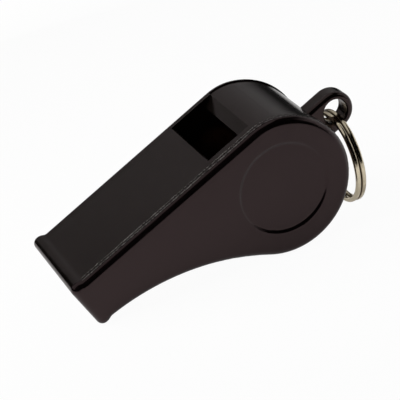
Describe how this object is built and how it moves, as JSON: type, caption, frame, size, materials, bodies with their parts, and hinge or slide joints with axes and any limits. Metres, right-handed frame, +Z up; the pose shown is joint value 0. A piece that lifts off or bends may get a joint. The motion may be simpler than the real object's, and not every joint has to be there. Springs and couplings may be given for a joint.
{
  "type": "sports whistle",
  "caption": "Moulded plastic pea whistle with a flat mouthpiece, round barrel chamber, sound window, loose pea and a split ring in its lanyard lug.",
  "frame": {"origin": "on the table, under the middle of the whistle's box, as it stands on its barrel and lower lip", "axes": "+X from the mouthpiece's tip to the lanyard lug, +Y across the width from the welded cover to the far cheek, +Z up"},
  "size_m": [0.0566, 0.0206, 0.0245],
  "materials": {
    "body_plastic": "satin moulded black",
    "cover_plastic": "satin moulded black",
    "ring_nickel": "bright nickel plate",
    "pea_cork": "natural cork, darkened with use"
  },
  "bodies": {
    "whistle": {"body_shell": "body_plastic", "side_cover": "cover_plastic"},
    "pea": {"pea": "pea_cork"},
    "ring": {"split_ring": "ring_nickel"}
  },
  "joints": [
    {"name": "pea_orbit", "type": "hinge", "parent": "whistle", "child": "pea", "pos_m": [0.01017, -0.00028, 0.01225], "axis": [0, 1, 0], "continuous": true},
    {"name": "ring_swing", "type": "hinge", "parent": "whistle", "child": "ring", "pos_m": [0.02486, -0.00028, 0.01786], "axis": [0, -1, 0], "range_deg": [-8, 231]}
  ]
}
